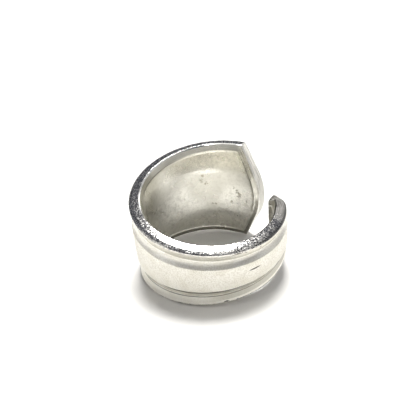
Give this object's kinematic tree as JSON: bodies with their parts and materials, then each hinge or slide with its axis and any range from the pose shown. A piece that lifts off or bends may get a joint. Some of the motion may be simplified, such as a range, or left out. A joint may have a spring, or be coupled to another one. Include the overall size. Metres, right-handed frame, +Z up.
{
  "type": "spoon ring",
  "caption": "Open silver ring bent edge to edge from the flat handle of a small spoon, with a grooved border round a raised field, a pointed wide tip and a filed cut end.",
  "frame": {"origin": "centre of the bounding box, on the plane that the ring rests on", "axes": "+Z up from the surface the ring rests on, lying on its side and leaning by itself; -Y to the picture's camera, with the gap between the ends at +X"},
  "size_m": [0.0212, 0.0224, 0.016],
  "materials": {
    "silver": "satin"
  },
  "bodies": {
    "root": {"ring_band": "silver"}
  },
  "joints": []
}
